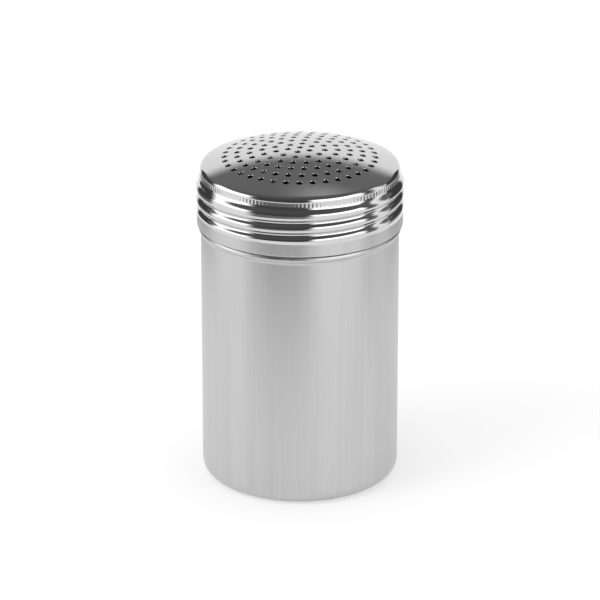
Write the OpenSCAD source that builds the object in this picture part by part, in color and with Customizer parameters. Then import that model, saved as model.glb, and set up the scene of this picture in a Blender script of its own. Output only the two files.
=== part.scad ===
// Screw-top spice shaker: a drawn steel container with a rolled neck thread,
// and a domed, perforated lid that screws down over the neck.
// Millimetres. +Z is up and the origin is the centre of the foot. The front is -Y.

/* [Container] */
// Outside radius of the container's straight wall
body_r = 33.3; // [30:0.1:40]
// Thickness of the drawn sheet
body_wall = 0.6; // [0.55:0.05:0.9]
// Depth of the bead's centre line below the top of the closed shaker
bead_drop = 27.4; // [26.5:0.1:30]
// Radius of the bead's rounding
bead_round = 1.25; // [1:0.05:1.6]
// How far the bead stands out from the wall
bead_out = 0.75; // [0.4:0.05:0.9]
// Outside radius of the corner between the wall and the foot
foot_round = 4.5; // [2:0.1:8]
// Outer radius of the raised panel in the middle of the foot
panel_r = 26; // [15:0.5:27]
// Height of the raised panel in the middle of the foot
panel_rise = 0.8; // [0.3:0.1:2]

/* [Lid] */
// Overall height of the closed shaker
total_h = 116; // [95:0.5:160]
// How far the thread's crests stand out from the container's wall
crest_out = 1.5; // [1.45:0.05:1.9]
// How far the plain skirt below the thread stands out from the container's wall
skirt_out = 1.3; // [1.25:0.05:1.4]
// How far the upright land between the dome and the thread stands out from the container's wall
land_out = 0.2; // [0.1:0.05:0.4]
// Thickness of the lid's sheet
lid_wall = 0.5; // [0.5:0.05:0.6]
// Rise of the dome above the circle where it meets its rounded edge
dome_rise = 5.3; // [2:0.1:9]
// Radius of the rounding between the dome and the land
dome_round = 2; // [1:0.1:3]
// Depth from the top of the closed shaker to the lower end of the land
land_drop = 9.2; // [8.6:0.1:10]
// Height of the plain skirt, its hem included
skirt_h = 4.4; // [3:0.1:4.6]
// Height of the hem that closes the skirt's lower edge
hem_h = 0.8; // [0.5:0.05:1.2]
// Space between the top of the bead and the lower edge of the hem
hem_gap = 0.2; // [0.1:0.05:0.6]

/* [Sprinkling holes] */
// Diameter of one hole
hole_d = 2; // [1:0.1:2.8]
// Distance from each ring of holes to the next
ring_step = 4.2; // [3.2:0.1:4.6]
// Number of rings around the centre hole
ring_count = 6; // [2:1:6]
// Direction of the ray of holes nearest the front, in degrees
hole_angle = 259.5; // [0:0.5:360]

/* [Thread] */
// Rise of the thread in one turn
pitch = 4.2; // [3.8:0.1:4.8]
// Depth of the groove rolled into the outside of the lid
groove_depth = 0.9; // [0.6:0.05:1]
// Depth of the thread on the neck
neck_depth = 0.65; // [0.4:0.05:0.7]
// Thickness of the sheet where the thread is rolled
thread_wall = 0.35; // [0.25:0.05:0.35]
// Depth of the groove's top end below the land
groove_drop = 1.8; // [1.6:0.1:2.4]
// Turns of groove in the lid
groove_turns = 2.6; // [1.5:0.1:2.8]
// Where the lid's groove begins at its top, in degrees
groove_start = 205; // [0:5:360]
// Turn over which a groove fades out at each of its ends
fade_turn = 0.12; // [0.05:0.01:0.25]
// Depth of the neck's rim below the lid's land
seat_gap = 0.3; // [0.2:0.05:0.6]

/* [Hidden] */

$fn = 96;
cut = 1;                 // how far a cutting shape runs past what it cuts
lap = 0.6;               // how far the rolled wall reaches into the plain wall at each end
bury = 0.06;             // how deep its outside lies in the plain wall there
edge_round = 0.2;        // rounding of a bare sheet edge
neck_plain = 1.2;        // plain neck between the bead and the rolled wall
rim_h = 1.6;             // height of the thickened rim
rim_taper = 0.4;         // how far the neck draws in towards its rim
rim_extra = 0.1;         // how far the rim is thicker than the rolled wall on its inside
flank_h = 2.6;           // height over which the land widens to the first crest
skirt_blend = 1.2;       // height over which the last crest blends into the skirt
run_out = 1.6;           // height over which the neck's thread runs out at each end
hem_split = 0.15;        // space between the hem and the rest of the skirt

// Levels, from the foot up
bead_z = total_h - bead_drop;
bead_top = bead_z + sqrt(pow(bead_round, 2) - pow(bead_round - bead_out, 2));
skirt_z = bead_top + hem_gap;
skirt_top = skirt_z + skirt_h;
land_z = total_h - land_drop;
rim_z = land_z - seat_gap;
groove_z = land_z - groove_drop;                      // top groove's root, at groove_start
neck_z = bead_top + neck_plain;                       // where the rolled part of the neck begins
rim_low = rim_z - rim_h;

// Radii, from the container's wall out
neck_root = body_r - bury;
rim_out = neck_root - rim_taper + bury;
rim_in = neck_root - rim_taper - thread_wall - rim_extra;
land_r = body_r + land_out;
skirt_r = body_r + skirt_out;
skirt_in = skirt_r - lid_wall;
crest_r = body_r + crest_out;
root_r = crest_r - groove_depth;

// The dome is part of a sphere, tangent to the torus of its rounded edge
edge_c = land_r - dome_round;
dome_r = (pow(edge_c, 2) + pow(dome_rise, 2)) / (2 * dome_rise);
dome_c = total_h - dome_r;
edge_z = dome_c + sqrt(pow(dome_r - dome_round, 2) - pow(edge_c, 2));

// Grid of the rolled walls
turn_steps = 60;         // steps around one turn
row_step = pitch / 8;    // height of one row
narrow = 1.6;            // narrows the lid's groove and widens the crests beside it
all_turns = 9;           // more turns than the neck is high

function smooth(t) = t <= 0 ? 0 : t >= 1 ? 1 : t * t * (3 - 2 * t);

// Height above the groove's root on the same ray, in turns: whole numbers are roots.
function turns_up(a, z) = (z - groove_z) / pitch - (a - groove_start) / 360;

// Turns down the helix from its top end, for the root nearest to a point.
function turns_down(a, z) = -(round(turns_up(a, z)) + (a - groove_start) / 360);

// 1 along a helix that runs from one turn to another, falling to 0 over fade_turn at its ends.
function along(t, from, to) = smooth((t - from) / fade_turn + 0.5) * smooth((to - t) / fade_turn + 0.5);

// 1 at a groove's root and 0 at the crests beside it; a higher power narrows the groove.
function groove(a, z, power, from, to) =
    pow((1 + cos(360 * turns_up(a, z))) / 2, power) * along(turns_down(a, z), from, to);

// Outside of the lid's rolled wall before the thread is rolled: land, first crest, skirt.
function lid_plain(z) =
    land_r - bury
    + (crest_r - land_r + bury) * smooth((land_z - z) / flank_h)
    - (crest_r - skirt_r + bury) * smooth((skirt_top + skirt_blend - z) / skirt_blend);

// Every part of the lid's groove is rolled down to the same radius.
function lid_outer(a, z) =
    lid_plain(z) - max(lid_plain(z) - root_r, 0) * groove(a, z, narrow, 0, groove_turns)
    * smooth((z - skirt_top) / skirt_blend);

// The neck's thread stands between grooves that go all the way, and runs out at the bead and the rim.
function neck_outer(a, z) =
    neck_root - rim_taper * smooth((z - rim_low + run_out) / run_out)
    + neck_depth * (1 - groove(a, z, 1, -all_turns, all_turns))
    * smooth((rim_low - z) / run_out) * smooth((z - neck_z - lap) / run_out);

// A wall of even thickness between two levels, whose outside is one of the functions above.
module rolled_wall(z_low, z_high, wall, is_lid) {
    rows = ceil((z_high - z_low) / row_step);
    zs = [for (i = [0 : rows]) z_low + (z_high - z_low) * i / rows];
    ring = [for (j = [0 : turn_steps - 1]) 360 * j / turn_steps];
    function radius(a, z) = is_lid ? lid_outer(a, z) : neck_outer(a, z);
    points = [
        for (skin = [0, wall], z = zs, a = ring)
            let (r = radius(a, z) - skin) [r * cos(a), r * sin(a), z]
    ];
    n = turn_steps;
    inner = n * (rows + 1);
    faces = [
        for (i = [0 : rows - 1], j = [0 : n - 1])
            let (p = i * n + j, q = i * n + (j + 1) % n)
            each [[p, p + n, q], [q, p + n, q + n], [inner + p, inner + q, inner + p + n],
                  [inner + q, inner + q + n, inner + p + n]],
        for (j = [0 : n - 1])
            let (q = (j + 1) % n, top = rows * n)
            each [[j, q, inner + j], [q, inner + q, inner + j],
                  [top + j, inner + top + j, top + q], [top + q, inner + top + j, inner + top + q]]
    ];
    polyhedron(points, faces);
}

// Half section of a cup: a flat foot, a rounded corner and a straight wall.
module cup_section(r, corner, foot, top) {
    translate([0, foot]) square([r - corner, corner]);
    translate([0, foot + corner]) square([r, top - foot - corner]);
    translate([r - corner, foot + corner]) circle(corner);
}

// Half section of the raised panel in the foot, which reaches below the cup.
module panel_section(foot) {
    polygon([[0, foot - cut], [panel_r, foot - cut], [panel_r, foot],
             [panel_r - 2 * panel_rise, foot + panel_rise], [0, foot + panel_rise]]);
}

// Half section of a ring of sheet whose edges are rounded.
module ring_section(r_in, r_out, z_low, z_high, rounding) {
    translate([r_in, z_low + rounding]) square([r_out - r_in, z_high - z_low - 2 * rounding]);
    translate([r_in + rounding, z_low]) square([r_out - r_in - 2 * rounding, z_high - z_low]);
    for (r = [r_in + rounding, r_out - rounding], z = [z_low + rounding, z_high - rounding])
        translate([r, z]) circle(rounding);
}

module container() {
    bead_c = body_r + bead_out - bead_round;
    color("silver") {
        rotate_extrude() difference() {
            union() {
                difference() {
                    cup_section(body_r, foot_round, 0, neck_z + lap);
                    panel_section(0);
                }
                translate([bead_c, bead_z]) circle(bead_round);
            }
            difference() {
                cup_section(body_r - body_wall, foot_round - body_wall, body_wall, neck_z + lap + cut);
                panel_section(body_wall);
            }
            translate([bead_c, bead_z]) circle(bead_round - body_wall);
        }
        rolled_wall(neck_z, rim_low + lap, thread_wall, false);
        rotate_extrude() {
            ring_section(rim_in, rim_out, rim_low, rim_z, edge_round);
            translate([rim_in, rim_low]) square([rim_out - rim_in, rim_h / 2]);
        }
    }
}

// Half section of the dome, its rounded edge and the land, grown inwards by the sheet.
module cap_section(inset, low) {
    intersection() {
        translate([0, dome_c]) circle(dome_r - inset);
        translate([0, low]) square([edge_c * (dome_r - inset) / (dome_r - dome_round), total_h]);
    }
    translate([edge_c, edge_z]) circle(dome_round - inset);
    translate([0, low]) square([land_r - inset, edge_z - low]);
}

// All the sprinkling holes: ring k has 6k of them, and all rings share six rays.
module sprinkling_holes() {
    for (k = [0 : ring_count], j = [0 : max(6 * k, 1) - 1])
        rotate(hole_angle + (k > 0 ? 60 * j / k : 0))
            translate([ring_step * k, 0, edge_z])
                cylinder(h = total_h, d = hole_d, $fn = 24);
}

module lid() {
    color("gainsboro") {
        difference() {
            rotate_extrude() difference() {
                cap_section(0, land_z);
                cap_section(lid_wall, land_z - cut);
            }
            sprinkling_holes();
        }
        rolled_wall(skirt_top - lap, land_z + lap, thread_wall, true);
        rotate_extrude() translate([skirt_in, skirt_z + hem_h + hem_split])
            square([lid_wall, skirt_h - hem_h - hem_split]);
    }
}

module lid_hem() {
    color("gainsboro")
        rotate_extrude() ring_section(skirt_in, skirt_r, skirt_z, skirt_z + hem_h, edge_round);
}

container();
lid();
lid_hem();
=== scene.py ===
import math
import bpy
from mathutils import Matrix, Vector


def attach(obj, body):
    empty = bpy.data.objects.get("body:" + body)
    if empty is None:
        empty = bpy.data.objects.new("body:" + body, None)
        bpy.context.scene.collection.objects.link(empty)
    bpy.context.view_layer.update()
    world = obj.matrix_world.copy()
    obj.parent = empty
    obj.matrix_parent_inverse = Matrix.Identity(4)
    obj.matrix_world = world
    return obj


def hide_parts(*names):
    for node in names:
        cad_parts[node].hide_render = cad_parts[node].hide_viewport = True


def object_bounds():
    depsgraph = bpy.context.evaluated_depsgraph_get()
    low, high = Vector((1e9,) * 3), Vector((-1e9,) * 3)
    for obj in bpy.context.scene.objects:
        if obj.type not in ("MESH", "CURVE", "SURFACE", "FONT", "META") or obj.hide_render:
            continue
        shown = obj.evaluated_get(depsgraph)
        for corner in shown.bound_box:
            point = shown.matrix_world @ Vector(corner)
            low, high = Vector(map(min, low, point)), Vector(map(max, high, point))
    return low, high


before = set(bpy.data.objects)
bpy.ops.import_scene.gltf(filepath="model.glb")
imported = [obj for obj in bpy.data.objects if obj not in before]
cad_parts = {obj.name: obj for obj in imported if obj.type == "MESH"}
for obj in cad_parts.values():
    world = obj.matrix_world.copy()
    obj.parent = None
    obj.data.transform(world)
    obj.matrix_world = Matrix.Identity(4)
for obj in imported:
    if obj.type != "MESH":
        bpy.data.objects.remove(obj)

from types import SimpleNamespace

import bpy
import numpy as np
from mathutils import Vector
from mathutils.geometry import delaunay_2d_cdt

bl_info = {
    "name": "Screw-top spice shaker",
    "version": (1, 0, 0),
    "blender": (4, 5, 0),
    "location": "3D View > Sidebar > Shaker",
    "description": "Dresses a steel spice shaker and sets up its studio",
    "category": "Object",
}

MM = 0.001
CAD_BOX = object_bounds()
TOTAL_H = CAD_BOX[1].z / MM

# Sizes of the two pressings, in mm, which the solids have too
BEAD_ROUND = 1.25     # radius of the bead's section
SKIRT_H = 4.4         # height of the lid's plain skirt
HEM_H = 0.8           # height of the hem turned in at the skirt's edge
HEM_GAP = 0.2         # from the bead up to the skirt
LAND_DROP = 9.2       # from the top of the dome down to the foot of the land
SEAT_GAP = 0.3        # from the foot of the land down to the container's rim
FLANK_H = 2.6         # height in which the lid swells from the land to the thread's crests
SKIRT_BLEND = 1.2     # height in which the lid's thread runs into the skirt
RIM_H = 1.6           # height of the container's rim
RIM_TAPER = 0.4       # how far the neck draws in below the rim
RUN_OUT = 1.6         # height in which the neck's thread comes up or runs out
NECK_PLAIN = 1.2      # plain neck above the bead
NECK_LAP = 0.6        # from the neck's start up to its thread, and down to the plain wall inside
BURY = 0.06           # how far the neck lies inside the wall's outside
RIM_EXTRA = 0.1       # what the curl of the rim adds to its inside

# The helix that both threads follow, as in the solids
GROOVE_DROP = 1.8     # mm from the foot of the land down to the groove's upper end
GROOVE_START = 205.0  # direction of that end, in degrees
GROOVE_TURNS = 2.6    # turns of the lid's groove
FADE_TURN = 0.12      # turns in which the groove fades in or out
LONG_TURNS = 9        # more turns than the neck's thread has, so that it has no ends
NARROW = 1.6          # power that makes the lid's groove narrower than its crests

# Finer detail than the solids have, in mm
HEM_SHEET = 0.24      # sheet of the skirt beside the hem, which is folded onto it
HOLE_LIP = 0.13       # chamfer round a hole

# The meshes
TICK_COLUMNS = 3      # columns of the lid's mesh for each knurl tick
HOLE_SIDES = 24       # corners of a round hole
GRID_STEP = 0.7       # mm between the rings of points that fill the dome
GRID_ALONG = 0.8      # mm between the points of such a ring
GRID_MARGIN = 0.3     # mm that the last ring keeps from the dome's edge
GRID_CLEAR = 0.25     # mm that these points keep from a hole
SAME_POINT = 1e-7     # mm below which two points would count as one

# The studio
EYE_Z = 0.08          # m, height of the point that the cards are bowed round
OVER_FLOOR = 0.0005   # m, height of the cloths on the floor
WHITE = (1, 1, 1, 1)


def srgb(text):
    """A hex colour such as C8C8C8, turned to the linear values that shaders take."""
    parts = [int(text[i:i + 2], 16) / 255 for i in (0, 2, 4)]
    return [p / 12.92 if p <= 0.04045 else ((p + 0.055) / 1.055) ** 2.4 for p in parts]


def smooth(t):
    """0 below 0, 1 above 1 and an even S between, for numbers and arrays."""
    t = np.clip(t, 0.0, 1.0)
    return t * t * (3 - 2 * t)


def length(name, description, mm):
    """A length that is given here in mm and kept in metres."""
    return bpy.props.FloatProperty(name=name, description=description, default=mm * MM,
                                   subtype="DISTANCE")


def angle(name, description, degrees):
    """An angle that is given here in degrees and kept in radians."""
    return bpy.props.FloatProperty(name=name, description=description, default=math.radians(degrees),
                                   subtype="ANGLE")


def colour(name, description, text):
    """A colour that is given here as sRGB hex and kept linear."""
    return bpy.props.FloatVectorProperty(name=name, description=description, default=srgb(text),
                                         subtype="COLOR")


def share(name, description, value):
    """A plain share from 0 to 1."""
    return bpy.props.FloatProperty(name=name, description=description, default=value,
                                   subtype="FACTOR", min=0, max=1)


def count(name, description, value):
    """A whole number."""
    return bpy.props.IntProperty(name=name, description=description, default=value)


class ShakerSizes(bpy.types.PropertyGroup):
    """Sizes of the shaker."""

    body_r: length("Wall radius", "Outside of the straight wall", 33.3)
    body_wall: length("Sheet", "Thickness of the container's sheet", 0.6)
    bead_drop: length("Bead depth", "Bead below the closed top", 27.4)
    bead_out: length("Bead", "How far the bead stands out", 0.75)
    foot_round: length("Foot corner", "Radius of the foot's corner", 4.5)
    panel_r: length("Foot panel", "Radius of the raised panel", 26.0)
    panel_rise: length("Panel rise", "Height of the raised panel", 0.8)
    crest_r: length("Crest radius", "Outside over the lid's thread", 34.8)
    skirt_r: length("Skirt radius", "Outside of the lid's skirt", 34.6)
    land_r: length("Land radius", "Upright land below the dome", 33.5)
    lid_wall: length("Lid sheet", "Thickness of the lid's sheet", 0.5)
    dome_rise: length("Dome rise", "Rise of the dome", 5.3)
    dome_round: length("Dome edge", "Radius of the dome's edge", 2.0)
    pitch: length("Pitch", "Rise of the thread in one turn", 4.2)
    groove_depth: length("Groove", "Depth of the lid's groove", 0.9)
    neck_depth: length("Neck thread", "Depth of the neck's thread", 0.65)
    thread_wall: length("Rolled sheet", "Sheet where it is rolled", 0.35)
    hole_d: length("Hole", "Diameter of a hole", 2.0)
    ring_step: length("Ring step", "Distance between rings of holes", 4.2)
    hole_angle: angle("Hole ray", "Ray nearest the front", 259.5)
    ring_count: count("Rings", "Rings around the centre hole", 6)
    knurl_count: count("Knurl ticks", "Ticks round the land", 164)
    knurl_depth: length("Knurl depth", "Depth of a tick", 0.13)


class ShakerFinish(bpy.types.PropertyGroup):
    """Colours and roughness of the two finishes of steel, and of the paper on the floor."""

    satin: colour("Satin steel", "Brushed steel of the container and the skirt", "C4C4C4")
    polished: colour("Polished steel", "Mirror steel of the dome and the thread", "D0D0D0")
    satin_rough: share("Satin roughness", "Mean roughness of the brushed steel", 0.35)
    polished_rough: share("Polish roughness", "Mean roughness of the mirror steel", 0.07)
    paper: colour("Floor paper", "Matt paper under the shaker", "F2F2F2")


# ---------------------------------------------------------------- levels

def sizes_in_mm():
    """The sizes as plain numbers, lengths in mm and angles in degrees."""
    group = bpy.context.scene.shaker_sizes
    values = {}
    for name in group.__annotations__:
        unit = group.bl_rna.properties[name].subtype
        scale = {"DISTANCE": 1 / MM, "ANGLE": math.degrees(1)}.get(unit, 1)
        values[name] = round(getattr(group, name) * scale, 4)
    return SimpleNamespace(**values)


def levels(s):
    """Heights and radii that the pieces share, in mm."""
    v = SimpleNamespace()
    v.bead_z = TOTAL_H - s.bead_drop
    v.bead_top = v.bead_z + math.sqrt(BEAD_ROUND ** 2 - (BEAD_ROUND - s.bead_out) ** 2)
    v.bead_low = 2 * v.bead_z - v.bead_top
    v.neck_z = v.bead_top + NECK_PLAIN
    v.neck_root = s.body_r - BURY
    v.skirt_z = v.bead_top + HEM_GAP
    v.skirt_top = v.skirt_z + SKIRT_H
    v.land_z = TOTAL_H - LAND_DROP
    v.rim_z = v.land_z - SEAT_GAP
    v.rim_low = v.rim_z - RIM_H
    v.groove_z = v.land_z - GROOVE_DROP
    v.root_r = s.crest_r - s.groove_depth
    # the dome is part of a sphere, and an arc round (edge_c, edge_z) joins it to the upright land
    v.edge_c = s.land_r - s.dome_round
    v.dome_r = (v.edge_c ** 2 + s.dome_rise ** 2) / (2 * s.dome_rise)
    v.dome_c = TOTAL_H - v.dome_r
    v.edge_z = v.dome_c + math.sqrt((v.dome_r - s.dome_round) ** 2 - v.edge_c ** 2)
    v.edge_tilt = math.degrees(math.acos(v.edge_c / (v.dome_r - s.dome_round)))
    v.disc_r = v.edge_c * v.dome_r / (v.dome_r - s.dome_round)
    return v


def groove(s, v, a, z, power, start, end):
    """1 at a groove's root and 0 at the crests beside it, fading out at both ends of the helix.

    a is the direction in degrees, and start and end are turns down from the helix's upper end."""
    up = (z - v.groove_z) / s.pitch - (a - GROOVE_START) / 360
    down = -(np.round(up) + (a - GROOVE_START) / 360)
    fade = smooth((down - start) / FADE_TURN + 0.5) * smooth((end - down) / FADE_TURN + 0.5)
    return ((1 + np.cos(2 * np.pi * up)) / 2) ** power * fade


def lid_outer(s, v, a, z):
    """Outside radius of the lid's upright wall: land, thread and skirt."""
    swell = (s.crest_r - s.land_r) * smooth((v.land_z - z) / FLANK_H)
    shrink = (s.crest_r - s.skirt_r) * smooth((v.skirt_top + SKIRT_BLEND - z) / SKIRT_BLEND)
    plain = s.land_r + swell - shrink
    depth = np.maximum(plain - v.root_r, 0) * smooth((z - v.skirt_top) / SKIRT_BLEND)
    return plain - depth * groove(s, v, a, z, NARROW, 0, GROOVE_TURNS)


def neck_outer(s, v, a, z):
    """Outside radius of the container's neck, whose thread runs out at the rim."""
    crest = 1 - groove(s, v, a, z, 1, -LONG_TURNS, LONG_TURNS)
    run_in = smooth((z - v.neck_z - NECK_LAP) / RUN_OUT)
    run_out = smooth((v.rim_low - z) / RUN_OUT)
    taper = RIM_TAPER * smooth((z - v.rim_low + RUN_OUT) / RUN_OUT)
    return v.neck_root - taper + s.neck_depth * crest * run_out * run_in


# ---------------------------------------------------------------- mesh tools

def arc(r, z, radius, start, end, steps):
    """Points of an arc round (r, z), angles in degrees from outwards, towards up."""
    turn = np.radians(np.linspace(start, end, steps + 1))
    return [(r + radius * math.cos(t), z + radius * math.sin(t)) for t in turn]


def line(p, q, steps):
    """Points from p to q, both included."""
    return [(p[0] + (q[0] - p[0]) * i / steps, p[1] + (q[1] - p[1]) * i / steps)
            for i in range(steps + 1)]


def circle(x, y, radius, number, shift=0.0):
    """Points of a circle round (x, y), moved on by a share of the step between them."""
    turn = [2 * math.pi * (j + shift) / number for j in range(number)]
    return [(x + radius * math.cos(t), y + radius * math.sin(t)) for t in turn]


class Skin:
    """A surface of rings round the Z axis, added from a section point by point."""

    def __init__(self, columns):
        self.angles = np.arange(columns) * 360.0 / columns
        self.columns = columns
        self.points = []
        self.faces = []
        self.slots = []
        self.last = None

    def ring(self, radii, heights, slot=0):
        """Adds one ring in mm and joins it to the ring before."""
        first = len(self.points)
        a = np.radians(self.angles)
        radii = radii + np.zeros(self.columns)
        heights = heights + np.zeros(self.columns)
        self.points += list(zip(radii * np.cos(a), radii * np.sin(a), heights))
        if self.last is not None:
            self.join(self.last, first, slot)
        self.last = first
        return first

    def sweep(self, section, slot=0):
        """Adds a ring for each (radius, height) of a section, and returns these rings."""
        return [self.ring(r, z, slot) for r, z in section]

    def join(self, low, high, slot):
        """Faces between two rings whose outside lies to the right of the way along the section."""
        for j in range(self.columns):
            k = (j + 1) % self.columns
            self.faces.append((low + j, low + k, high + k, high + j))
            self.slots.append(slot)

    def cap(self, ring, height, upward, slot=0):
        """Closes a ring to a point on the axis."""
        centre = len(self.points)
        self.points.append((0.0, 0.0, height))
        for j in range(self.columns):
            pair = (ring + j, ring + (j + 1) % self.columns)
            self.faces.append((*pair, centre) if upward else (*reversed(pair), centre))
            self.slots.append(slot)


def make_piece(name, skin, materials):
    """A smooth mesh object from a skin in mm."""
    mesh = bpy.data.meshes.new(name)
    mesh.from_pydata([(x * MM, y * MM, z * MM) for x, y, z in skin.points], [], skin.faces)
    for m in materials:
        mesh.materials.append(m)
    mesh.polygons.foreach_set("material_index", skin.slots)
    mesh.polygons.foreach_set("use_smooth", [True] * len(skin.faces))
    mesh.update()
    obj = bpy.data.objects.new(name, mesh)
    bpy.context.scene.collection.objects.link(obj)
    return obj


# ---------------------------------------------------------------- materials

def add_node(tree, kind, links=None, **settings):
    """Adds a node; settings name its attributes or inputs, and links feed its inputs."""
    node = tree.nodes.new(kind)
    for key, value in settings.items():
        if hasattr(node, key):
            setattr(node, key, value)
        else:
            node.inputs[key.replace("_", " ")].default_value = value
    for key, socket in (links or {}).items():
        tree.links.new(socket, node.inputs[key])
    return node


def new_material(name):
    """An empty node material and its output node."""
    material = bpy.data.materials.new(name)
    material.use_nodes = True
    material.node_tree.nodes.clear()
    return material, material.node_tree, material.node_tree.nodes.new("ShaderNodeOutputMaterial")


def scaled(tone, times):
    """A linear colour made lighter or darker, with its alpha."""
    return (*[min(c * times, 1) for c in tone], 1)


def brushed_grain(tree, across_mm, along_mm):
    """Noise drawn out along Z: across_mm between streaks and along_mm down each."""
    across, along = 1 / (across_mm * MM), 1 / (along_mm * MM)
    coords = add_node(tree, "ShaderNodeTexCoord")
    stretch = add_node(tree, "ShaderNodeMapping", {"Vector": coords.outputs["Object"]},
                       Scale=(across, across, along))
    return add_node(tree, "ShaderNodeTexNoise", {"Vector": stretch.outputs["Vector"]},
                    Scale=1.0, Detail=3.0)


def satin_steel(finish):
    """Satin 18/8 stainless steel, drawn and brushed up the wall: long soft streaks, blurred reflections."""
    material, tree, out = new_material("stainless_steel_satin_brushed")
    # the real grain is about 0.1 mm; 0.5 mm is the finest that shows at this distance
    fine = brushed_grain(tree, 0.5, 60)
    broad = brushed_grain(tree, 4, 150)
    broad_share = 0.6
    both = add_node(tree, "ShaderNodeMix", {"A": fine.outputs["Fac"], "B": broad.outputs["Fac"]},
                    data_type="FLOAT")
    both.inputs[0].default_value = broad_share
    # most of the noise lies between low and high, and it moves the roughness down or up by this much
    low, high = 0.3, 0.7
    down, up = 0.05, 0.07
    rough = add_node(tree, "ShaderNodeMapRange", {"Value": both.outputs[0]},
                     From_Min=low, From_Max=high,
                     To_Min=finish.satin_rough - down, To_Max=finish.satin_rough + up)
    tone = add_node(tree, "ShaderNodeValToRGB", {"Fac": both.outputs[0]})
    dark, light = tone.color_ramp.elements
    dark.position, light.position = low, high
    dark.color, light.color = scaled(finish.satin, 0.93), scaled(finish.satin, 1.06)
    # streaks 0.03 mm deep, at a strength that only just breaks up the reflections
    bump = add_node(tree, "ShaderNodeBump", {"Height": both.outputs[0]}, Strength=0.12,
                    Distance=0.03 * MM)
    metal = add_node(tree, "ShaderNodeBsdfPrincipled",
                     {"Base Color": tone.outputs["Color"], "Roughness": rough.outputs["Result"],
                      "Normal": bump.outputs["Normal"]}, Metallic=1.0)
    tree.links.new(metal.outputs[0], out.inputs["Surface"])
    return material


def polished_steel(finish):
    """Mirror-polished stainless steel, buffed after pressing: sharp reflections, faint haze from wiping."""
    material, tree, out = new_material("stainless_steel_mirror_polished")
    coords = add_node(tree, "ShaderNodeTexCoord")
    # wiping marks about 6 mm apart
    haze = add_node(tree, "ShaderNodeTexNoise", {"Vector": coords.outputs["Object"]},
                    Scale=1 / (6 * MM), Detail=4.0)
    # most of the noise lies between low and high, and it moves the roughness down or up by this much
    low, high = 0.35, 0.7
    down, up = 0.02, 0.04
    rough = add_node(tree, "ShaderNodeMapRange", {"Value": haze.outputs["Fac"]},
                     From_Min=low, From_Max=high,
                     To_Min=finish.polished_rough - down, To_Max=finish.polished_rough + up)
    tone = add_node(tree, "ShaderNodeValToRGB", {"Fac": haze.outputs["Fac"]})
    dark, light = tone.color_ramp.elements
    dark.color, light.color = scaled(finish.polished, 0.97), scaled(finish.polished, 1)
    metal = add_node(tree, "ShaderNodeBsdfPrincipled",
                     {"Base Color": tone.outputs["Color"], "Roughness": rough.outputs["Result"]},
                     Metallic=1.0)
    tree.links.new(metal.outputs[0], out.inputs["Surface"])
    return material


def shared_material(name, maker, finish):
    """The material of that name, made once."""
    return bpy.data.materials.get(name) or maker(finish)


def both_steels():
    """The satin and the polished finish."""
    finish = bpy.context.scene.shaker_finish
    return (shared_material("stainless_steel_satin_brushed", satin_steel, finish),
            shared_material("stainless_steel_mirror_polished", polished_steel, finish))


# ---------------------------------------------------------------- pieces

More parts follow.
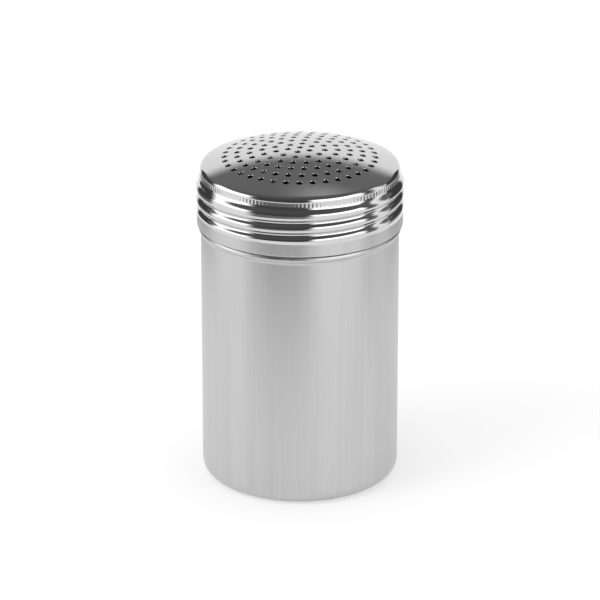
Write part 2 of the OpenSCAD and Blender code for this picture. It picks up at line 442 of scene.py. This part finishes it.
class SHAKER_OT_container(bpy.types.Operator):
    """Makes the drawn container: foot, wall, bead, rolled neck and rim"""

    bl_idname = "shaker.container"
    bl_label = "Container"

    COLUMNS = 288
    NECK_ROWS = 84
    # the slope round the foot's panel runs this far for each mm that it rises
    SLOPE_RUN = 2

    def execute(self, context):
        s = sizes_in_mm()
        v = levels(s)
        skin = Skin(self.COLUMNS)
        flat_r = s.panel_r - self.SLOPE_RUN * s.panel_rise
        first = self.foot(s, skin, flat_r)
        self.wall_and_bead(s, v, skin)
        self.neck_and_rim(s, v, skin)
        last = self.inside(s, v, skin, flat_r)
        skin.cap(last, s.body_wall + s.panel_rise, True)
        skin.cap(first, s.panel_rise, False)
        satin, _ = both_steels()
        piece = make_piece("container_drawn_steel", skin, [satin])
        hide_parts("container")
        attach(piece, "container")
        return {"FINISHED"}

    def foot(self, s, skin, flat_r):
        """Outside of the foot, from the raised panel to the round corner; returns the first ring."""
        rise, corner = s.panel_rise, s.foot_round
        # the slope is eased where it leaves the panel (brink, shoulder) and where it meets the foot (toe)
        ease = 0.3
        brink, shoulder, toe = rise * 0.94, rise * 0.85, 0.08
        first = skin.ring(flat_r / 2, rise)
        skin.sweep(line((flat_r - 1, rise), (flat_r, brink), 2))
        skin.sweep(line((flat_r + ease, shoulder), (s.panel_r - ease, toe), 4))
        skin.ring(s.panel_r, 0.0)
        skin.sweep(arc(s.body_r - corner, corner, corner, -90, 0, 14))
        return first

    def wall_and_bead(self, s, v, skin):
        """Outside of the straight wall and of the bead, with a soft crease on both sides of it."""
        wall_low, wall_high = s.foot_round + 3, v.bead_low - 1
        skin.sweep(line((s.body_r, wall_low), (s.body_r, wall_high), 16))
        # height of a crease and degrees that it takes off the bead's arc, and how far the neck is drawn in
        crease, crease_angle, tuck = 0.25, 6, 0.02
        half = math.degrees(math.asin((v.bead_top - v.bead_z) / BEAD_ROUND)) - crease_angle
        skin.ring(s.body_r, v.bead_low - crease)
        skin.sweep(arc(s.body_r + s.bead_out - BEAD_ROUND, v.bead_z, BEAD_ROUND, -half, half, 14))
        skin.ring(s.body_r - tuck, v.bead_top + crease)

    def neck_and_rim(self, s, v, skin):
        """The rolled neck up its outside, the curled rim and the neck down its inside."""
        rows = np.linspace(v.neck_z, v.rim_low, self.NECK_ROWS)
        for z in rows:
            skin.ring(neck_outer(s, v, skin.angles, z), z)
        outer = v.neck_root - RIM_TAPER + BURY
        inner = v.neck_root - RIM_TAPER - s.thread_wall - RIM_EXTRA
        curl = (outer - inner) / 2
        # above the neck's last row, so that the step out to the curl is a short slope
        curl_low = v.rim_low + 0.3
        skin.ring(outer, curl_low)
        skin.sweep(arc(outer - curl, v.rim_z - curl, curl, 0, 180, 12))
        skin.ring(inner, curl_low)
        for z in rows[::-1]:
            skin.ring(neck_outer(s, v, skin.angles, z) - s.thread_wall, z)

    def inside(self, s, v, skin, flat_r):
        """Inside of the wall and of the foot, down to the panel; returns the last ring."""
        inner = s.body_r - s.body_wall
        corner = s.foot_round - s.body_wall
        skin.sweep(line((inner, v.neck_z - NECK_LAP), (inner, s.foot_round + 1), 12))
        skin.sweep(arc(inner - corner, s.foot_round, corner, 0, -90, 10))
        skin.ring(s.panel_r, s.body_wall)
        return skin.ring(flat_r, s.body_wall + s.panel_rise)


def dome_height(v, r, inset):
    """Height of the dome's outside, or of its inside at the sheet's thickness."""
    return v.dome_c + np.sqrt((v.dome_r - inset) ** 2 - r ** 2)


def hole_centres(s):
    """Centres of the sprinkling holes in mm: ring k has 6k of them."""
    yield 0.0, 0.0
    for k in range(1, s.ring_count + 1):
        for j in range(6 * k):
            a = math.radians(s.hole_angle + 60 * j / k)
            yield s.ring_step * k * math.cos(a), s.ring_step * k * math.sin(a)


def perforated_disc(s, columns, edge):
    """Flat points and triangles of the dome's disc without its holes, and the loop round each hole."""
    mouth = s.hole_d / 2 + HOLE_LIP
    points = circle(0, 0, edge, columns)
    edges = [(j, (j + 1) % columns) for j in range(columns)]
    loops = []
    centres = list(hole_centres(s))
    for x, y in centres:
        loop = list(range(len(points), len(points) + HOLE_SIDES))
        points += circle(x, y, mouth, HOLE_SIDES)
        edges += list(zip(loop, loop[1:] + loop[:1]))
        loops.append(loop)
    # rings of points keep the triangles small and even
    for radius in np.arange(GRID_STEP, edge - GRID_MARGIN, GRID_STEP):
        number = max(6, round(2 * math.pi * radius / GRID_ALONG))
        points += [p for p in circle(0, 0, radius, number, 0.5)
                   if all(math.dist(p, centre) > mouth + GRID_CLEAR for centre in centres)]
    flat, _, triangles, *_ = delaunay_2d_cdt([Vector(p) for p in points], edges, [], 0, SAME_POINT)
    if len(flat) != len(points):
        raise RuntimeError("the disc's points were merged")
    xy = np.array([(p.x, p.y) for p in flat])
    # a triangle is kept where its middle lies outside every hole's polygon, or nearly so
    middles = np.array([xy[list(t)].mean(0) for t in triangles])
    slack = 0.01
    hole_reach = mouth * math.cos(math.pi / HOLE_SIDES) - slack
    outside = np.ones(len(triangles), bool)
    for x, y in centres:
        outside &= np.hypot(middles[:, 0] - x, middles[:, 1] - y) > hole_reach
    return xy, [tuple(t) for t, keep in zip(triangles, outside) if keep], loops


class SHAKER_OT_lid(bpy.types.Operator):
    """Makes the pressed lid: perforated dome, knurled land, rolled thread and skirt"""

    bl_idname = "shaker.lid"
    bl_label = "Lid"

    # places of the two finishes in the piece's list of materials
    POLISHED, SATIN = 0, 1
    # rings up the skirt, up and down the thread, and over the knurl
    SKIRT_ROWS = 8
    THREAD_ROWS = 96
    INNER_ROWS = 84
    KNURL_ROWS = 20
    # where the thread's rows begin and end, in mm below the skirt's top and below the land
    BELOW_SKIRT_TOP = 0.4
    BELOW_LAND = 0.1

    def execute(self, context):
        s = sizes_in_mm()
        v = levels(s)
        skin = Skin(TICK_COLUMNS * s.knurl_count)
        outer_edge = self.outside(s, v, skin)
        skin.last = None
        inner_edge = self.inside(s, v, skin)
        self.close_dome(s, v, skin, outer_edge, inner_edge)
        satin, polished = both_steels()
        piece = make_piece("lid_pressed_steel", skin, [polished, satin])
        self.true_normals(v, piece)
        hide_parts("lid")
        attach(piece, "lid")
        return {"FINISHED"}

    def outside(self, s, v, skin):
        """The outside from the skirt's edge up to the dome's edge; returns the last ring."""
        # the rounding of the skirt's edge, what its plain rows keep from its ends, and where satin ends
        lip, plain_end, satin_end = 0.22, 0.6, v.skirt_top - 0.2
        skin.ring(s.skirt_r - HEM_SHEET, v.skirt_z)
        skin.sweep(arc(s.skirt_r - lip, v.skirt_z + lip, lip, -90, 0, 6), self.SATIN)
        for z in np.linspace(v.skirt_z + plain_end, v.skirt_top - plain_end, self.SKIRT_ROWS):
            skin.ring(s.skirt_r, z, self.SATIN)
        thread = (v.skirt_top - self.BELOW_SKIRT_TOP, v.land_z - self.BELOW_LAND)
        for z in np.linspace(*thread, self.THREAD_ROWS):
            slot = self.SATIN if z < satin_end else self.POLISHED
            skin.ring(lid_outer(s, v, skin.angles, z), z, slot)
        self.knurl(s, v, skin)
        return skin.sweep(arc(v.edge_c, v.edge_z, s.dome_round, 0, v.edge_tilt, 14))[-1]

    def knurl(self, s, v, skin):
        """The upright land with its row of pressed ticks, which fade out at their ends."""
        # what the rows keep from the land's ends, and the height in which a tick fades out
        margin, fade = 0.04, 0.2
        low, high = v.land_z + margin, v.edge_z - margin
        tick = np.arange(skin.columns) % TICK_COLUMNS == 0
        for z in np.linspace(low, high, self.KNURL_ROWS):
            depth = smooth((z - low) / fade) * smooth((high - z) / fade)
            skin.ring(s.land_r - s.knurl_depth * depth * tick, z)

    def inside(self, s, v, skin):
        """The inside down to the hem, closed at the skirt's edge; returns the first ring."""
        # the plain land and the plain skirt end clear of the thread, whose sheet is a little thicker
        land_low, skirt_high, extra = v.land_z + 0.2, v.skirt_top - 0.8, 0.05
        inner_r, hem_top = s.skirt_r - s.lid_wall, v.skirt_z + HEM_H
        edge = arc(v.edge_c, v.edge_z, s.dome_round - s.lid_wall, v.edge_tilt, 0, 6)
        first = skin.sweep(edge)[0]
        skin.ring(s.land_r - s.lid_wall, land_low)
        thread = (v.land_z - self.BELOW_LAND, v.skirt_top - self.BELOW_SKIRT_TOP)
        for z in np.linspace(*thread, self.INNER_ROWS):
            skin.ring(lid_outer(s, v, skin.angles, z) - s.thread_wall - extra, z)
        skin.sweep(line((inner_r, skirt_high), (inner_r, hem_top), 3), self.SATIN)
        skin.ring(s.skirt_r - HEM_SHEET, hem_top, self.SATIN)
        skin.join(skin.last, 0, self.SATIN)
        return first

    def close_dome(self, s, v, skin, outer_edge, inner_edge):
        """Fills both skins of the dome and lines its holes with their punched edges."""
        n = skin.columns
        xy, triangles, loops = perforated_disc(s, n, v.disc_r)
        radius = np.hypot(xy[:, 0], xy[:, 1])
        # the inside has the same points, drawn in to the inner sphere's edge
        inner_r = v.edge_c * (v.dome_r - s.lid_wall) / (v.dome_r - s.dome_round)
        scale = inner_r / v.disc_r
        top = dome_height(v, radius, 0)
        under = dome_height(v, radius * scale, s.lid_wall)
        outer = [outer_edge + j for j in range(n)]
        inner = [inner_edge + j for j in range(n)]
        for i in range(n, len(xy)):
            outer.append(len(skin.points))
            skin.points.append((xy[i, 0], xy[i, 1], top[i]))
        for i in range(n, len(xy)):
            inner.append(len(skin.points))
            skin.points.append((xy[i, 0] * scale, xy[i, 1] * scale, under[i]))
        for t in triangles:
            skin.faces.append(tuple(outer[i] for i in t))
            skin.faces.append(tuple(inner[i] for i in reversed(t)))
            skin.slots += [self.POLISHED, self.POLISHED]
        for loop, centre in zip(loops, hole_centres(s)):
            self.line_hole(s, v, skin, xy[loop], centre, [outer[i] for i in loop],
                           [inner[i] for i in loop])

    def line_hole(self, s, v, skin, rim, centre, outer, inner):
        """A hole's wall from its chamfered mouth, whose flat points are rim, down to the inside."""
        # each ring of the wall: its share of the mouth's radius, and its depth in mm
        bore = s.hole_d / 2 / (s.hole_d / 2 + HOLE_LIP)
        steps = ((0.94, 0.05), (bore, 0.16), (bore, 0.4))
        rings = [outer]
        for part, drop in steps:
            rings.append(list(range(len(skin.points), len(skin.points) + len(rim))))
            for x, y in np.array(centre) + (rim - centre) * part:
                height = float(dome_height(v, math.hypot(x, y), 0))
                skin.points.append((x, y, height - drop))
        rings.append(inner)
        for a, b in zip(rings, rings[1:]):
            for j in range(len(a)):
                k = (j + 1) % len(a)
                skin.faces.append((a[j], a[k], b[k], b[j]))
                skin.slots.append(self.POLISHED)

    def true_normals(self, v, piece):
        """Gives the dome's outside the sphere's own normals, so that reflections run evenly across it."""
        # a point counts as the outside of the dome this near to its sphere and this far above its edge
        on_sphere, above_edge = 0.004, 0.5
        mesh = piece.data
        co = np.empty(len(mesh.vertices) * 3)
        mesh.vertices.foreach_get("co", co)
        co = co.reshape(-1, 3) / MM
        normals = np.empty(len(mesh.vertices) * 3, np.float32)
        mesh.vertex_normals.foreach_get("vector", normals)
        normals = normals.reshape(-1, 3)
        offset = co - np.array([0, 0, v.dome_c])
        far = np.linalg.norm(offset, axis=1)
        on_dome = (np.abs(far - v.dome_r) < on_sphere) & (co[:, 2] > v.edge_z + above_edge)
        normals[on_dome] = offset[on_dome] / far[on_dome, None]
        mesh.normals_split_custom_set_from_vertices([tuple(map(float, x)) for x in normals])


class SHAKER_OT_hem(bpy.types.Operator):
    """Makes the turned-in hem inside the skirt's lower edge"""

    bl_idname = "shaker.hem"
    bl_label = "Hem"

    COLUMNS = 288
    # in mm, to the skirt's sheet and to the levels of the hem's two ends
    SHEET_GAP = 0.01
    END_GAP = 0.02

    def execute(self, context):
        s = sizes_in_mm()
        v = levels(s)
        skin = Skin(self.COLUMNS)
        thick = (s.lid_wall - HEM_SHEET) / 2 - self.SHEET_GAP
        middle = s.skirt_r - s.lid_wall + thick
        low = v.skirt_z + self.END_GAP + thick
        high = v.skirt_z + HEM_H - thick - self.END_GAP
        skin.sweep(arc(middle, low, thick, -180, 0, 10))
        skin.sweep(arc(middle, high, thick, 0, 180, 10))
        skin.join(skin.last, 0, 0)
        satin, _ = both_steels()
        piece = make_piece("lid_hem_turned_in", skin, [satin])
        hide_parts("lid_hem")
        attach(piece, "lid_rise")
        return {"FINISHED"}


# ---------------------------------------------------------------- studio

def make_card(name, points, columns, material):
    """A card from rows of points in metres, staged and with a UV of 0 to 1 both ways."""
    rows = len(points) // columns
    faces = [(i * columns + j, i * columns + j + 1, (i + 1) * columns + j + 1, (i + 1) * columns + j)
             for i in range(rows - 1) for j in range(columns - 1)]
    mesh = bpy.data.meshes.new(name)
    mesh.from_pydata(points, [], faces)
    mesh.materials.append(material)
    layer = mesh.uv_layers.new(name="card")
    for loop in mesh.loops:
        row, column = divmod(loop.vertex_index, columns)
        layer.data[loop.index].uv = (column / (columns - 1), row / (rows - 1))
    card = bpy.data.objects.new(name, mesh)
    bpy.context.scene.collection.objects.link(card)
    return card


def reflected_card(name, rows, columns, place, material):
    """A card that only reflections see, so that it throws neither light nor shadow on the floor.

    place turns each pair of a row and a column into a point in metres."""
    points = [place(row, column) for row in rows for column in columns]
    card = make_card(name, points, len(columns), material)
    card.visible_camera = False
    card.visible_diffuse = False
    card.visible_shadow = False
    card.visible_transmission = False


def spread(ends, number=25):
    """Even angles in radians between two ends in degrees."""
    return np.radians(np.linspace(*ends, number))


def bowed_card(name, distance, turn, side, material):
    """A card bowed round the shaker: turn runs from the front horizon (0) over the top (90) to the back
    horizon (180), and side from the left (-90) to the right (90), in degrees."""
    def place(t, a):
        return (distance * math.sin(a), -distance * math.cos(a) * math.cos(t),
                distance * math.cos(a) * math.sin(t) + EYE_Z)

    reflected_card(name, spread(turn), spread(side), place, material)


def upright_card(name, distance, azimuth, elevation, material):
    """An upright card bowed round the shaker: azimuth 0 is the front and 90 the right, in degrees."""
    def place(e, a):
        return distance * math.sin(a), -distance * math.cos(a), distance * math.tan(e) + EYE_Z

    reflected_card(name, spread(elevation, 13), spread(azimuth), place, material)


def floor_card(name, reach, azimuth, material):
    """A sector of a ring just over the floor: reach in metres, azimuth in degrees as above."""
    def place(r, a):
        return r * math.sin(a), -r * math.cos(a), OVER_FLOOR

    reflected_card(name, np.geomspace(*reach, 17), spread(azimuth), place, material)


def soft_card(name, light, edges):
    """A glowing card for studio cloths, lit papers and the painted shade on the floor. Light is its level
    at its lower and upper end, where white is 1, and edges are the shares of its size over which it fades
    out at its left, right, lower and upper edge."""
    material, tree, out = new_material(name)
    uv = add_node(tree, "ShaderNodeTexCoord")
    split = add_node(tree, "ShaderNodeSeparateXYZ", {"Vector": uv.outputs["UV"]})
    cover = None
    for axis, at, soft in zip("XXYY", (0, 1, 0, 1), edges):
        if not soft:
            continue
        edge = add_node(tree, "ShaderNodeMapRange", {"Value": split.outputs[axis]},
                        interpolation_type="SMOOTHSTEP",
                        From_Min=at, From_Max=soft if at == 0 else 1 - soft).outputs["Result"]
        if cover:
            edge = add_node(tree, "ShaderNodeMath", {0: cover, 1: edge}, operation="MULTIPLY").outputs[0]
        cover = edge
    level = add_node(tree, "ShaderNodeMapRange", {"Value": split.outputs["Y"]},
                     interpolation_type="SMOOTHSTEP", To_Min=light[0], To_Max=light[1])
    clear = add_node(tree, "ShaderNodeBsdfTransparent")
    glow = add_node(tree, "ShaderNodeEmission", {"Strength": level.outputs["Result"]}, Color=WHITE)
    mix = add_node(tree, "ShaderNodeMixShader", {0: cover, 1: clear.outputs[0], 2: glow.outputs[0]})
    tree.links.new(mix.outputs[0], out.inputs["Surface"])
    return material


def looked_at(tree):
    """1 for rays from the camera, and for those that a mirror or glass passes on, else 0."""
    rays = add_node(tree, "ShaderNodeLightPath")
    seen = rays.outputs["Is Camera Ray"]
    for kind in ("Is Glossy Ray", "Is Transmission Ray"):
        seen = add_node(tree, "ShaderNodeMath", {0: seen, 1: rays.outputs[kind]},
                        operation="MAXIMUM").outputs[0]
    return seen


def seen_paper(name, tone, white_share):
    """Matt paper that is partly plain white to the camera and to the steel, and keeps the shadow."""
    material, tree, out = new_material(name)
    part = add_node(tree, "ShaderNodeMath", {0: looked_at(tree)}, operation="MULTIPLY")
    part.inputs[1].default_value = white_share
    paper = add_node(tree, "ShaderNodeBsdfDiffuse", Color=(*tone, 1))
    white = add_node(tree, "ShaderNodeEmission", Strength=1.0)
    mix = add_node(tree, "ShaderNodeMixShader",
                   {0: part.outputs[0], 1: paper.outputs[0], 2: white.outputs[0]})
    tree.links.new(mix.outputs[0], out.inputs["Surface"])
    return material


class SHAKER_OT_stage(bpy.types.Operator):
    """Sets the camera, the pale floor, the lamp and the cards that the steel reflects"""

    bl_idname = "shaker.stage"
    bl_label = "Studio"

    # the camera, fitted to the outlines in the photograph: metres, degrees down and mm
    DISTANCE = 1.2036
    HEIGHT = 0.5431
    PITCH = 21.82
    LENS = 229.9
    SENSOR = 36
    CLIP = (0.05, 50)

    # the dark canopy over the shaker, which the dome reflects: metres and degrees. A card's light is its
    # level at its lower and upper end, and its edges are the shares of its size over which it fades out
    CANOPY = {"distance": 2.4, "turn": (-4, 156), "side": (-88, 88)}
    CANOPY_LIGHT, CANOPY_EDGES = (0.06, 0.19), (0.02, 0.02, 0, 0.07)

    # dark upright cloths behind the shaker on both sides
    UPRIGHTS = {"back_left": (-152, -98), "back_right": (110, 152)}
    UPRIGHT_DISTANCE, UPRIGHT_HEIGHT = 2.3, (-3, 28)
    UPRIGHT_LIGHT, UPRIGHT_EDGES = (0.06, 0.06), (0.1, 0.1, 0, 0.3)

    # lit papers round it: name, azimuths and top in degrees, light, and the share of the width that fades
    # out on each side
    PAPER_DISTANCE = 2.0
    PAPERS = (
        ("left", (-116, -52), 36, 2.2, 0.2),
        ("right", (8, 80), 50, 2.2, 0.15),
        ("far_right", (88, 108), 50, 1.2, 0.4),
    )
    PAPER_LOW, PAPER_TOP_FADE = -3, 0.3

    # a faint paper high behind the shaker, which lightens a patch of the dome
    TOP_PAPER = {"distance": 2.0, "turn": (108, 132), "side": (-8, 22)}
    TOP_PAPER_LIGHT, TOP_PAPER_EDGES = (0.4, 0.4), (0.5, 0.5, 0.5, 0.5)

    # painted shade on the floor: dark cards just over it, which only the steel sees, where the floor lies
    # in shade; the wall and the grooves reflect them
    FLOOR_SHADE_CARDS = {
        "back_left": (-152, -104),
        "front": (-62, 18),
        "right": (72, 92),
        "back_right": (104, 152),
    }
    FLOOR_REACH = (0.23, 2.4)
    FLOOR_LIGHT, FLOOR_EDGES = (0.18, 0.05), (0.2, 0.2, 0.13, 0)

    # the floor's paper: half its width in metres, and how much of it is plain white where it is seen
    PAPER_REACH = 4.0
    PAPER_WHITE = 0.5

    # the soft lamp that throws the shadow: metres and watts
    LAMP_PLACE, LAMP_SIZE, LAMP_POWER = (-0.9, -0.5, 1.0), 0.7, 6

    # level of the white world as light, and as the camera and the steel see it
    WORLD_LIGHT, WORLD_SEEN = 1.1, 1.0

    def execute(self, context):
        context.scene.view_settings.view_transform = "Standard"
        self.camera(context)
        self.world(context)
        self.floor(context)
        self.cards()
        self.lamp(context)
        return {"FINISHED"}

    def cards(self):
        """The dark cloths, the lit papers and the painted shade on the floor round the shaker, seen only by
        the steel.
        """
        canopy = soft_card("cloth_dark_canopy", self.CANOPY_LIGHT, self.CANOPY_EDGES)
        bowed_card("cloth_canopy", material=canopy, **self.CANOPY)
        upright = soft_card("cloth_dark_upright", self.UPRIGHT_LIGHT, self.UPRIGHT_EDGES)
        for name, azimuth in self.UPRIGHTS.items():
            upright_card("cloth_" + name, self.UPRIGHT_DISTANCE, azimuth, self.UPRIGHT_HEIGHT, upright)
        for name, azimuth, top, light, soft in self.PAPERS:
            paper = soft_card("paper_lit_" + name, (light, light), (soft, soft, 0, self.PAPER_TOP_FADE))
            upright_card("paper_" + name, self.PAPER_DISTANCE, azimuth, (self.PAPER_LOW, top), paper)
        paper = soft_card("paper_lit_top", self.TOP_PAPER_LIGHT, self.TOP_PAPER_EDGES)
        bowed_card("paper_top", material=paper, **self.TOP_PAPER)
        # painted shade: dark cards on the floor that only the steel reflects
        for name, azimuth in self.FLOOR_SHADE_CARDS.items():
            floor_shade = soft_card("painted_floor_shade_" + name, self.FLOOR_LIGHT, self.FLOOR_EDGES)
            floor_card("painted_floor_shade_" + name, self.FLOOR_REACH, azimuth, floor_shade)

    def floor(self, context):
        """White paper under the shaker, wide enough for the camera and the reflections."""
        reach = self.PAPER_REACH
        points = [(x, y, 0) for y in (-reach, reach) for x in (-reach, reach)]
        tone = context.scene.shaker_finish.paper
        make_card("studio_floor", points, 2, seen_paper("paper_white_matt", tone, self.PAPER_WHITE))

    def lamp(self, context):
        """A soft square lamp that throws the shaker's shadow and that the steel doesn't show."""
        data = bpy.data.lights.new("lamp_left", "AREA")
        data.size = self.LAMP_SIZE
        data.energy = self.LAMP_POWER
        lamp = bpy.data.objects.new("lamp_left", data)
        lamp.location = self.LAMP_PLACE
        lamp.rotation_euler = (-Vector(self.LAMP_PLACE)).to_track_quat("-Z", "Y").to_euler()
        lamp.visible_glossy = False
        context.scene.collection.objects.link(lamp)

    def camera(self, context):
        """A long lens looking down at the shaker, as in the photograph."""
        data = bpy.data.cameras.new("camera")
        data.lens = self.LENS
        data.sensor_width = self.SENSOR
        data.clip_start, data.clip_end = self.CLIP
        camera = bpy.data.objects.new("camera", data)
        camera.location = (0, -self.DISTANCE, self.HEIGHT)
        camera.rotation_euler = (math.radians(90 - self.PITCH), 0, 0)
        context.scene.collection.objects.link(camera)
        context.scene.camera = camera

    def world(self, context):
        """White to the camera and to the steel, and a plain level of light for the rest."""
        world = bpy.data.worlds.new("studio")
        context.scene.world = world
        world.use_nodes = True
        tree = world.node_tree
        tree.nodes.clear()
        level = add_node(tree, "ShaderNodeMapRange", {"Value": looked_at(tree)},
                         To_Min=self.WORLD_LIGHT, To_Max=self.WORLD_SEEN)
        white = add_node(tree, "ShaderNodeBackground", {"Strength": level.outputs["Result"]}, Color=WHITE)
        out = add_node(tree, "ShaderNodeOutputWorld")
        tree.links.new(white.outputs[0], out.inputs["Surface"])


class SHAKER_PT_panel(bpy.types.Panel):
    """Lists the shaker's pieces and their sizes"""

    bl_idname = "SHAKER_PT_panel"
    bl_label = "Spice shaker"
    bl_space_type = "VIEW_3D"
    bl_region_type = "UI"
    bl_category = "Shaker"

    def draw(self, context):
        for operator in OPERATORS:
            self.layout.operator(operator.bl_idname)
        for group in (context.scene.shaker_sizes, context.scene.shaker_finish):
            column = self.layout.column(align=True)
            for name in group.__annotations__:
                column.prop(group, name)


OPERATORS = [SHAKER_OT_stage, SHAKER_OT_container, SHAKER_OT_lid, SHAKER_OT_hem]
CLASSES = [ShakerSizes, ShakerFinish, *OPERATORS, SHAKER_PT_panel]


def register():
    """Registers the classes and gives the scene its sizes and finishes."""
    for cls in CLASSES:
        bpy.utils.register_class(cls)
    bpy.types.Scene.shaker_sizes = bpy.props.PointerProperty(type=ShakerSizes)
    bpy.types.Scene.shaker_finish = bpy.props.PointerProperty(type=ShakerFinish)


def unregister():
    """Takes away what register has added."""
    del bpy.types.Scene.shaker_sizes
    del bpy.types.Scene.shaker_finish
    for cls in reversed(CLASSES):
        bpy.utils.unregister_class(cls)


def main():
    """Makes the studio and the pieces."""
    register()
    bpy.ops.shaker.stage()
    bpy.ops.shaker.container()
    bpy.ops.shaker.lid()
    bpy.ops.shaker.hem()


if __name__ == "__main__":
    main()
